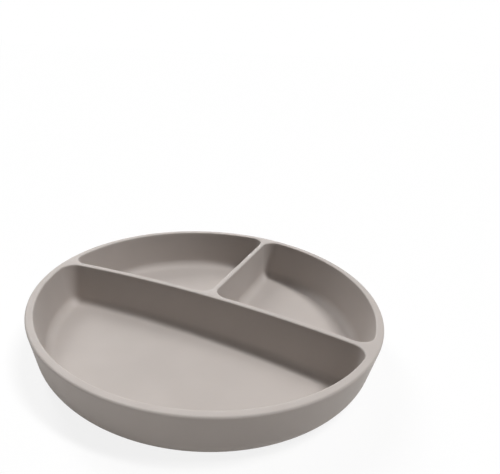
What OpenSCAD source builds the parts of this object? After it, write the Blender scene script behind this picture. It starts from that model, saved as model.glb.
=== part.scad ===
// Round silicone plate, moulded in one piece, with one large compartment at the
// front (-Y) and two small ones behind it. Its flat underside lies at z = 0.

/* [Plate] */
// Diameter over the rim
plate_d = 196; // [150:1:260]
// Height from the table to the rim
plate_h = 29.5; // [22:0.5:42]
// Thickness of the floor
base_t = 3.5; // [2.5:0.1:6]
// Width of the rim, seen from above
rim_t = 4.2; // [3:0.1:8]
// Radius of the rim's outer edge
rim_r = 1.8; // [0.5:0.1:2.4]
// Slope of the outer wall from upright, in degrees
outer_draft = 5; // [1:0.5:8]
// Radius between the outer wall and the underside
base_r = 12; // [6:0.5:14]

/* [Dividers] */
// Thickness of the long divider at its top
long_t = 3.5; // [2.5:0.1:8]
// Distance of the long divider's middle from the line through its ends
long_bow = 7.2; // [3:0.2:20]
// Place of the long divider's middle, behind the plate's centre
long_y = -0.9; // [-15:0.1:15]
// Thickness of the short divider at its top
short_t = 3; // [2.5:0.1:8]
// Place of the short divider, to the right of the plate's centre
short_x = 2.6; // [-25:0.1:25]

/* [Compartments] */
// Slope of the compartment walls from upright, in degrees
wall_draft = 5; // [1:0.5:8]
// Radius between the walls and the floor
floor_r = 6; // [3:0.5:9]
// Radius of the flat floor's corners, seen from above
floor_corner_r = 0.5; // [0.2:0.1:10]
// Radius of the edges at the top of the walls
edge_r = 0.8; // [0.2:0.1:1]

/* [Hidden] */
// Steps in a quarter turn of a round edge, a fillet and a compartment's corner
edge_steps = 4;
fillet_steps = 6;
corner_steps = 8;
// Steps in a full turn of the round outer wall
turn_steps = 90;
// Steps along the long divider, for each of the two back compartments
long_steps = 8;
// How far the compartments are cut past the rim
over = 1;

// Distance from a sharp edge to where its rounding of radius 1 starts, in
// section, between a level face and a wall that slopes outwards by a
function edge_start(a) = tan(45 - a / 2);
function heading(v) = atan2(v[1], v[0]);
function toward(a) = [cos(a), sin(a)];
// Angle from the direction u to v, counterclockwise
function turn(u, v) = (heading(v) - heading(u) + 360) % 360;
// Points of an arc of radius r round c, from the angle a to b
function arc(c, r, a, b, steps) = [for (i = [0 : steps]) c + r * toward(a + (b - a) * i / steps)];

// A wall's way in from the rim to the floor, and its corners' radius at the rim
wall_run = (plate_h - base_t) * tan(wall_draft);
corner_r = wall_run + floor_r * edge_start(wall_draft) + floor_corner_r;

// Section of a compartment at its wall: distance from the corners' centres and
// height, up from the end of the flat floor
edge_x = corner_r + edge_r * edge_start(wall_draft);
wall_section = concat(
    arc([floor_corner_r, base_t + floor_r], floor_r, -90, -wall_draft, fillet_steps),
    arc([edge_x, plate_h - edge_r], edge_r, 180 - wall_draft, 90, edge_steps),
    [[edge_x, plate_h + over]]
);

// The long divider is an arc round long_c, from the outer wall to the outer wall
inner_r = plate_d / 2 - rim_t;
long_end_y = long_y - long_bow;
long_half = sqrt(inner_r * inner_r - long_end_y * long_end_y);
long_r = (long_half * long_half + long_bow * long_bow) / (2 * long_bow);
long_c = [0, long_y - long_r];

// Radii of the arcs that the corners' centres lie on
outer_path_r = inner_r - corner_r;
front_path_r = long_r - long_t / 2 - corner_r;
back_path_r = long_r + long_t / 2 + corner_r;

// Corner's centre right of the middle, on the outer path and r from long_c
function crossing(r) =
    let (y = (outer_path_r * outer_path_r - r * r + long_c[1] * long_c[1]) / (2 * long_c[1]))
    [sqrt(outer_path_r * outer_path_r - y * y), y];

// A path is a list of steps, counterclockwise round a compartment. Each step is
// a place on the line of the corners' centres and the direction to the wall.

// Steps round the corner at p, where the wall's direction turns from u to v
function corner(p, u, v) = [
    for (i = [1 : corner_steps - 1]) [p, toward(heading(u) + turn(u, v) * i / corner_steps)]
];
// Steps along an arc round c from p to q, with the wall on its outer side
function outer_side(c, p, q, steps) = [
    for (d = arc([0, 0], 1, heading(p - c), heading(p - c) + turn(p - c, q - c), steps))
        [c + norm(p - c) * d, d]
];
// Steps along an arc round c from p to q, with the wall on its inner side
function inner_side(c, p, q, steps) = [
    for (d = arc([0, 0], 1, heading(p - c), heading(p - c) - turn(q - c, p - c), steps))
        [c + norm(p - c) * d, -d]
];
// Steps along the outer wall from p to q
function outer_wall(p, q) = outer_side([0, 0], p, q, ceil(turn(p, q) * turn_steps / 360));

// Solid with the wall section all along a path
module compartment(path) {
    n = len(path);
    last = len(wall_section) - 1;
    polyhedron(
        points = [
            for (s = wall_section, step = path) [
                step[0][0] + s[0] * step[1][0],
                step[0][1] + s[0] * step[1][1],
                s[1]
            ]
        ],
        faces = [
            [for (k = [0 : n - 1]) k],
            for (j = [0 : last - 1], k = [0 : n - 1])
                let (next = (k + 1) % n)
                [j * n + k, (j + 1) * n + k, (j + 1) * n + next, j * n + next],
            [for (k = [n - 1 : -1 : 0]) last * n + k]
        ]
    );
}

module front_compartment() {
    right = crossing(front_path_r);
    left = [-right[0], right[1]];
    compartment(concat(
        outer_wall(left, right),
        corner(right, right, right - long_c),
        outer_side(long_c, right, left, 2 * long_steps),
        corner(left, left - long_c, left)
    ));
}

// Back compartment to the right of a divider face at x = side_x
module back_compartment(side_x) {
    x = side_x + corner_r;
    far = [x, sqrt(outer_path_r * outer_path_r - x * x)];
    near = [x, long_c[1] + sqrt(back_path_r * back_path_r - x * x)];
    right = crossing(back_path_r);
    compartment(concat(
        [[far, [-1, 0]], [near, [-1, 0]]],
        corner(near, [-1, 0], long_c - near),
        inner_side(long_c, near, right, long_steps),
        corner(right, long_c - right, right),
        outer_wall(right, far),
        corner(far, far, [-1, 0])
    ));
}

// The plate without its compartments
module blank() {
    rim_x = plate_d / 2 - rim_r;
    foot_x = rim_x + rim_r * edge_start(-outer_draft) - plate_h * tan(outer_draft);
    base_x = foot_x - base_r * edge_start(outer_draft);
    rotate_extrude($fn = 2 * turn_steps)
        polygon(concat(
            [[0, 0]],
            arc([base_x, base_r], base_r, -90, -outer_draft, 2 * fillet_steps),
            arc([rim_x, plate_h - rim_r], rim_r, -outer_draft, 90, 2 * edge_steps),
            [[0, plate_h]]
        ));
}

module plate() {
    color([0.74, 0.72, 0.69])
        difference() {
            blank();
            front_compartment();
            back_compartment(short_x + short_t / 2);
            mirror([1, 0, 0]) back_compartment(short_t / 2 - short_x);
        }
}

plate();
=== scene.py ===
import math
import bmesh
import bpy
from mathutils import Matrix, Vector


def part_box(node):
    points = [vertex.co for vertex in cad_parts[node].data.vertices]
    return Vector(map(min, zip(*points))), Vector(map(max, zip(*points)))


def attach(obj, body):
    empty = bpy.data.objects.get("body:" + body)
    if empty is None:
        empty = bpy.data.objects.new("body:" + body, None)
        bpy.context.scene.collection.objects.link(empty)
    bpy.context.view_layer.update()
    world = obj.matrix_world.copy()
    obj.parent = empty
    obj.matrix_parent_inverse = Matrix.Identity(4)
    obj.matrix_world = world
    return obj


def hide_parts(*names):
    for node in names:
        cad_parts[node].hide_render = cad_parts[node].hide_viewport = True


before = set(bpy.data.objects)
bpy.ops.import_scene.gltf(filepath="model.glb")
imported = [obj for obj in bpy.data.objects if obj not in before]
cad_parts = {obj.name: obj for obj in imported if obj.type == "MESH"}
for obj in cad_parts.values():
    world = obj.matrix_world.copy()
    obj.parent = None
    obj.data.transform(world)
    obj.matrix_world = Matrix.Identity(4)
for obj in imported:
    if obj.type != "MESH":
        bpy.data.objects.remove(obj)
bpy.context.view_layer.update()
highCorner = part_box("plate")[1]
up = Vector((0, 0, 1))
print("frame loaded")

# Camera
view = {
    "lens": 29.52,
    "place": (0.09005, -0.18779, 0.14467),
    "angles": (54.338, -2.003, 27.002),  # in degrees
    "shift": (0.092, 0.208),  # the plate sits low and left in the picture
    "nearest": 0.01,
}


def makeCamera():
    camera = bpy.data.objects.new("camera", bpy.data.cameras.new("camera"))
    bpy.context.scene.collection.objects.link(camera)
    camera.data.lens = view["lens"]
    camera.data.shift_x, camera.data.shift_y = view["shift"]
    camera.data.clip_start = view["nearest"]
    camera.location = view["place"]
    camera.rotation_euler = [math.radians(a) for a in view["angles"]]
    bpy.context.scene.camera = camera


makeCamera()
print("camera placed")

# Plate, in metres and degrees; its diameter and height come from the frame
plate = {
    "radius": highCorner.x,
    "height": highCorner.z,
    "floorThickness": 0.0035,
    "rimWidth": 0.0042,
    "rimRound": 0.0011,
    "outerDraft": 5,
    "baseRound": 0.012,
    "longThickness": 0.0035,
    "longBow": 0.0072,
    "longY": -0.0009,
    "shortThickness": 0.003,
    "shortX": 0.0026,
    "wallDraft": 5,
    "floorRound": 0.006,
    "floorCorner": 0.0005,
    "edgeRound": 0.0008,
    "stepsPerTurn": 240,  # of the outer wall
    "longSteps": 40,  # along the long divider
    "roundSteps": 12,  # in a quarter turn of a small round
    "wallSteps": 8,  # up a wall
    "flatBorder": 0.0004,  # keeps the shading of the floors and the underside level
    "closeBy": 0.00001,  # points nearer than this are one
}


def edgeStart(draft):
    # how far a round of radius 1 starts from the sharp edge of a wall and a level face
    return math.tan(math.radians(45 - draft / 2))


def facing(draft):
    # the way a wall with that draft faces, in the XZ plane
    return Vector((math.cos(math.radians(draft)), 0, -math.sin(math.radians(draft))))


def turnFrom(first, second):
    # degrees from one direction to the other, counterclockwise
    return math.degrees(math.atan2(second.y, second.x) - math.atan2(first.y, first.x)) % 360


def along(bm, vert, move, steps):
    # draws a straight line on from a vertex
    for _ in range(steps):
        vert = bmesh.ops.extrude_vert_indiv(bm, verts=[vert])["verts"][0]
        vert.co += move / steps
    return vert


def around(bm, vert, centre, degrees, steps):
    # draws an arc on from a vertex, in the XZ plane
    made = bmesh.ops.spin(bm, geom=[vert], cent=centre, axis=(0, -1, 0),
                          angle=math.radians(degrees), steps=steps)
    return [v for v in made["geom_last"] if isinstance(v, bmesh.types.BMVert)][0]


def makePlate():
    p = plate
    bm = bmesh.new()
    draft, outerDraft = p["wallDraft"], p["outerDraft"]
    top, floorZ = p["height"], p["floorThickness"]
    wallRun = (top - floorZ) * math.tan(math.radians(draft))
    cornerRound = wallRun + p["floorRound"] * edgeStart(draft) + p["floorCorner"]
    innerRadius = p["radius"] - p["rimWidth"]

    # outside: from the flat underside, round the base, up the wall and over the rim
    rimCentre = Vector((p["radius"] - p["rimRound"], 0, top - p["rimRound"]))
    footX = (rimCentre.x + p["rimRound"] * edgeStart(-outerDraft)
             - top * math.tan(math.radians(outerDraft)))
    baseX = footX - p["baseRound"] * edgeStart(outerDraft)
    outward = facing(outerDraft)
    baseCentre = Vector((baseX, 0, p["baseRound"]))
    vert = bm.verts.new((baseX, 0, 0))
    vert = around(bm, vert, baseCentre, 90 - outerDraft, 2 * p["roundSteps"])
    wall = (rimCentre + outward * p["rimRound"]) - (baseCentre + outward * p["baseRound"])
    vert = along(bm, vert, wall, p["wallSteps"])
    around(bm, vert, rimCentre, 90 + outerDraft, p["roundSteps"])
    bmesh.ops.spin(bm, geom=bm.verts[:] + bm.edges[:], cent=(0, 0, 0), axis=up,
                   angle=math.tau, steps=p["stepsPerTurn"], use_merge=True)

    def wallSection(place, direction):
        # section of a compartment's wall, from its floor up to the rim
        old = set(bm.verts)
        edgeX = cornerRound + p["edgeRound"] * edgeStart(draft)
        fillet = Vector((p["floorCorner"], 0, floorZ + p["floorRound"]))
        edge = Vector((edgeX, 0, top - p["edgeRound"]))
        outward = facing(draft)
        vert = bm.verts.new((p["floorCorner"], 0, floorZ))
        vert = around(bm, vert, fillet, 90 - draft, p["roundSteps"])
        wall = (edge - outward * p["edgeRound"]) - (fillet + outward * p["floorRound"])
        vert = along(bm, vert, wall, p["wallSteps"])
        around(bm, vert, edge, draft - 90, p["roundSteps"] // 2)
        verts = [v for v in bm.verts if v not in old]
        bmesh.ops.rotate(bm, verts=verts, cent=(0, 0, 0),
                         matrix=Matrix.Rotation(math.atan2(direction.y, direction.x), 3, "Z"))
        bmesh.ops.translate(bm, verts=verts, vec=place)
        return verts + list({e for v in verts for e in v.link_edges})

    def sweep(section, centre, degrees, steps):
        return bmesh.ops.spin(bm, geom=section, cent=centre, axis=up,
                              angle=math.radians(degrees), steps=steps)["geom_last"]

    def outerSteps(degrees):
        return math.ceil(degrees * p["stepsPerTurn"] / 360)

    # the long divider is an arc from outer wall to outer wall
    endY = p["longY"] - p["longBow"]
    half = math.sqrt(innerRadius ** 2 - endY ** 2)
    longRadius = (half ** 2 + p["longBow"] ** 2) / (2 * p["longBow"])
    longCentre = Vector((0, p["longY"] - longRadius, 0))
    outerPath = innerRadius - cornerRound
    frontPath = longRadius - p["longThickness"] / 2 - cornerRound
    backPath = longRadius + p["longThickness"] / 2 + cornerRound
    middle = Vector((0, 0, 0))

    def crossing(radius):
        # a corner's centre, right of the middle and at that radius from longCentre
        y = (outerPath ** 2 - radius ** 2 + longCentre.y ** 2) / (2 * longCentre.y)
        return Vector((math.sqrt(outerPath ** 2 - y ** 2), y, 0))

    # large compartment at the front
    right = crossing(frontPath)
    left = Vector((-right.x, right.y, 0))
    outerTurn = turnFrom(left, right)
    longTurn = turnFrom(right - longCentre, left - longCentre)
    cornerTurn = turnFrom(right, right - longCentre)
    section = wallSection(left, left)
    section = sweep(section, middle, outerTurn, outerSteps(outerTurn))
    section = sweep(section, right, cornerTurn, 2 * p["roundSteps"])
    section = sweep(section, longCentre, longTurn, p["longSteps"])
    sweep(section, left, cornerTurn, 2 * p["roundSteps"])

    def backCompartment(sideX):
        x = sideX + cornerRound
        right = crossing(backPath)
        near = Vector((x, longCentre.y + math.sqrt(backPath ** 2 - x ** 2), 0))
        far = Vector((x, math.sqrt(outerPath ** 2 - x ** 2), 0))
        leftward = Vector((-1, 0, 0))
        old = set(bm.verts)
        section = wallSection(far, leftward)
        section = bmesh.ops.extrude_edge_only(
            bm, edges=[e for e in section if isinstance(e, bmesh.types.BMEdge)])["geom"]
        moved = [v for v in section if isinstance(v, bmesh.types.BMVert)]
        bmesh.ops.translate(bm, verts=moved, vec=near - far)
        section = [e for e in section if not isinstance(e, bmesh.types.BMFace)]
        longTurn = -turnFrom(right - longCentre, near - longCentre)
        outerTurn = turnFrom(right, far)
        section = sweep(section, near, turnFrom(leftward, longCentre - near), 2 * p["roundSteps"])
        section = sweep(section, longCentre, longTurn, p["longSteps"] // 2)
        section = sweep(section, right, turnFrom(longCentre - right, right), 2 * p["roundSteps"])
        section = sweep(section, middle, outerTurn, outerSteps(outerTurn))
        sweep(section, far, turnFrom(far, leftward), 2 * p["roundSteps"])
        return [v for v in bm.verts if v not in old]

    verts = backCompartment(p["shortThickness"] / 2 - p["shortX"])
    bmesh.ops.scale(bm, vec=(-1, 1, 1), verts=verts)
    backCompartment(p["shortThickness"] / 2 + p["shortX"])
    bmesh.ops.remove_doubles(bm, verts=bm.verts, dist=p["closeBy"])

    # floors, underside and the flat of the rim close the open edges
    def openEdges(z):
        level = {v for v in bm.verts if abs(v.co.z - z) < p["closeBy"]}
        return [e for e in bm.edges if e.is_boundary and level.issuperset(e.verts)]

    flats = bmesh.ops.edgeloop_fill(bm, edges=openEdges(floorZ))["faces"]
    flats += bmesh.ops.edgeloop_fill(bm, edges=openEdges(0))["faces"]
    bmesh.ops.inset_individual(bm, faces=flats, thickness=p["flatBorder"])
    bmesh.ops.triangle_fill(bm, edges=openEdges(top), use_beauty=True, normal=up)
    bmesh.ops.recalc_face_normals(bm, faces=bm.faces)
    for face in bm.faces:
        face.smooth = True
    print("open edges:", sum(not e.is_manifold for e in bm.edges), "faces:", len(bm.faces))

    mesh = bpy.data.meshes.new("mouldedPlate")
    bm.to_mesh(mesh)
    bm.free()
    piece = bpy.data.objects.new("mouldedPlate", mesh)
    bpy.context.scene.collection.objects.link(piece)
    return piece


mouldedPlate = makePlate()
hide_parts("plate")
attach(mouldedPlate, "root")
print("plate made")

# Silicone, matt and warm grey, as it comes out of a fine blasted mould
silicone = {
    "paler": (0.517, 0.471, 0.442),
    "deeper": (0.493, 0.449, 0.421),
    "patchSize": 0.035,  # metres across one soft change of tone
    "grainShare": 0.3,  # of the tone; the patches have the rest
    "toneRange": (0.4, 0.6),  # what of the noise goes from deeper to paler
    "roughness": (0.56, 0.68),
    "smearSize": 0.012,
    "smearRange": (0.3, 0.7),  # what of the noise goes from the lower roughness to the higher
    "smearDetail": 3,
    "ior": 1.41,
    "translucence": 0.12,
    "scatter": (1.0, 0.82, 0.7),
    "scatterDepth": 0.0025,
    "bloom": 0.05,
    "bloomRoughness": 0.4,
    # size across and height of what the bump shows, in metres
    "wave": (0.022, 0.00012),
    "peel": (0.0022, 0.000012),
    "grain": (0.0005, 0.00001),
}


def makeSilicone():
    s = silicone
    material = bpy.data.materials.new("silicone")
    material.use_nodes = True
    nodes, links = material.node_tree.nodes, material.node_tree.links
    shader = nodes["Principled BSDF"]
    shader.inputs["IOR"].default_value = s["ior"]
    shader.inputs["Subsurface Weight"].default_value = s["translucence"]
    shader.inputs["Subsurface Radius"].default_value = s["scatter"]
    shader.inputs["Subsurface Scale"].default_value = s["scatterDepth"]
    shader.inputs["Sheen Weight"].default_value = s["bloom"]
    shader.inputs["Sheen Roughness"].default_value = s["bloomRoughness"]
    place = nodes.new("ShaderNodeTexCoord").outputs["Object"]

    def noise(size, detail=2):
        node = nodes.new("ShaderNodeTexNoise")
        node.inputs["Scale"].default_value = 1 / size
        node.inputs["Detail"].default_value = detail
        links.new(place, node.inputs["Vector"])
        return node.outputs["Fac"]

    # tone: wide soft patches with a fine grain over them
    grain = nodes.new("ShaderNodeMath")
    grain.operation = "MULTIPLY"
    grain.inputs[1].default_value = s["grainShare"]
    links.new(noise(s["grain"][0]), grain.inputs[0])
    tone = nodes.new("ShaderNodeMath")
    tone.operation = "MULTIPLY_ADD"
    tone.inputs[1].default_value = 1 - s["grainShare"]
    links.new(noise(s["patchSize"]), tone.inputs[0])
    links.new(grain.outputs[0], tone.inputs[2])
    ramp = nodes.new("ShaderNodeValToRGB")
    stops = ramp.color_ramp.elements
    stops[0].position, stops[1].position = s["toneRange"]
    stops[0].color = (*s["deeper"], 1)
    stops[1].color = (*s["paler"], 1)
    links.new(tone.outputs[0], ramp.inputs[0])
    links.new(ramp.outputs["Color"], shader.inputs["Base Color"])

    # gloss: slightly uneven, as from handling
    gloss = nodes.new("ShaderNodeMapRange")
    gloss.inputs["From Min"].default_value, gloss.inputs["From Max"].default_value = s["smearRange"]
    gloss.inputs["To Min"].default_value, gloss.inputs["To Max"].default_value = s["roughness"]
    links.new(noise(s["smearSize"], s["smearDetail"]), gloss.inputs["Value"])
    links.new(gloss.outputs["Result"], shader.inputs["Roughness"])

    # relief: slack of the soft wall, skin of the moulding, blasted grain
    below = None
    for size, height in (s["wave"], s["peel"], s["grain"]):
        bump = nodes.new("ShaderNodeBump")
        bump.inputs["Strength"].default_value = 1
        bump.inputs["Distance"].default_value = height
        links.new(noise(size), bump.inputs["Height"])
        if below:
            links.new(below, bump.inputs["Normal"])
        below = bump.outputs["Normal"]
    links.new(below, shader.inputs["Normal"])
    return material


mouldedPlate.data.materials.append(makeSilicone())
print("silicone made")

# Floor and light
studio = {
    "floorColour": (0.77, 0.75, 0.73),
    "floorSeen": (1, 1, 1),  # its colour to the camera and in gloss, where it fades into the backdrop
    "whiteShare": 0.85,  # how far the camera sees plain white in place of the floor
    "floorRadius": 20,
    "floorOpening": 0.0848,  # as wide as the plate's flat foot, so that it can be seen from below
    "floorSteps": 128,
    "ambient": 0.005,  # light that comes evenly from all round
    # each light box is a row of lamps from one direction to another, in degrees round and up,
    # with how many there are, how soft each is in degrees, and their strength together
    "lightBoxes": {
        "key": ((18, 58), (42, 74), 4, 7, 2.26),
        "side": ((150, 34), (150, 50), 3, 16, 1.23),
        "back": ((112, 12), (118, 12), 2, 16, 0.6),
        "front": ((-120, 30), (-120, 30), 1, 60, 0.15),
        "below": ((0, -90), (0, -90), 1, 120, 2.5),  # it reaches only the underside
    },
}


def seesBackdrop(nodes, links):
    # 1 for what is seen, straight or in a reflection or glass, and 0 for what lights the plate
    path = nodes.new("ShaderNodeLightPath")
    total = path.outputs["Is Camera Ray"]
    for name in ("Is Glossy Ray", "Is Transmission Ray"):
        either = nodes.new("ShaderNodeMath")
        either.operation = "MAXIMUM"
        links.new(total, either.inputs[0])
        links.new(path.outputs[name], either.inputs[1])
        total = either.outputs[0]
    return total


def makeFloor():
    bm = bmesh.new()
    bmesh.ops.create_circle(bm, segments=studio["floorSteps"], radius=studio["floorOpening"])
    outer = bmesh.ops.extrude_edge_only(bm, edges=bm.edges[:])["geom"]
    outer = [v for v in outer if isinstance(v, bmesh.types.BMVert)]
    grow = studio["floorRadius"] / studio["floorOpening"]
    bmesh.ops.scale(bm, verts=outer, vec=(grow, grow, 1))
    bm.faces.ensure_lookup_table()
    if bm.faces[0].normal.z < 0:
        bmesh.ops.reverse_faces(bm, faces=bm.faces)
    mesh = bpy.data.meshes.new("floor")
    bm.to_mesh(mesh)
    bm.free()
    floor = bpy.data.objects.new("floor", mesh)
    bpy.context.scene.collection.objects.link(floor)
    material = bpy.data.materials.new("floor")
    material.use_nodes = True
    nodes, links = material.node_tree.nodes, material.node_tree.links
    nodes.clear()
    output = nodes.new("ShaderNodeOutputMaterial")
    mix = nodes.new("ShaderNodeMixShader")
    matte = nodes.new("ShaderNodeBsdfDiffuse")
    white = nodes.new("ShaderNodeEmission")
    cameraRay = nodes.new("ShaderNodeLightPath").outputs["Is Camera Ray"]
    share = nodes.new("ShaderNodeMath")
    share.operation = "MULTIPLY"
    share.inputs[1].default_value = studio["whiteShare"]
    colour = nodes.new("ShaderNodeMixRGB")
    colour.inputs["Color1"].default_value = (*studio["floorColour"], 1)
    colour.inputs["Color2"].default_value = (*studio["floorSeen"], 1)
    links.new(seesBackdrop(nodes, links), colour.inputs["Fac"])
    links.new(cameraRay, share.inputs[0])
    links.new(colour.outputs["Color"], matte.inputs["Color"])
    links.new(share.outputs[0], mix.inputs[0])
    links.new(matte.outputs[0], mix.inputs[1])
    links.new(white.outputs[0], mix.inputs[2])
    # the floor is clear from below
    clear = nodes.new("ShaderNodeBsdfTransparent")
    side = nodes.new("ShaderNodeMixShader")
    links.new(nodes.new("ShaderNodeNewGeometry").outputs["Backfacing"], side.inputs[0])
    links.new(mix.outputs[0], side.inputs[1])
    links.new(clear.outputs[0], side.inputs[2])
    links.new(side.outputs[0], output.inputs[0])
    mesh.materials.append(material)


def makeWorld():
    world = bpy.data.worlds.new("studio")
    bpy.context.scene.world = world
    world.use_nodes = True
    nodes, links = world.node_tree.nodes, world.node_tree.links
    background = nodes["Background"]
    strength = nodes.new("ShaderNodeMapRange")
    strength.inputs["To Min"].default_value = studio["ambient"]
    strength.inputs["To Max"].default_value = 1
    background.inputs["Color"].default_value = (1, 1, 1, 1)
    links.new(seesBackdrop(nodes, links), strength.inputs["Value"])
    links.new(strength.outputs[0], background.inputs["Strength"])


def makeLamps():
    for name, (first, last, count, softness, strength) in studio["lightBoxes"].items():
        for i in range(count):
            azimuth, elevation = Vector(first).lerp(last, i / max(count - 1, 1))
            data = bpy.data.lights.new(name, "SUN")
            data.angle = math.radians(softness)
            data.energy = strength / count
            lamp = bpy.data.objects.new(name, data)
            bpy.context.scene.collection.objects.link(lamp)
            lamp.rotation_euler = (0, math.radians(90 - elevation), math.radians(azimuth))


makeFloor()
makeWorld()
makeLamps()
bpy.context.scene.view_settings.view_transform = "Standard"
print("floor and light made")
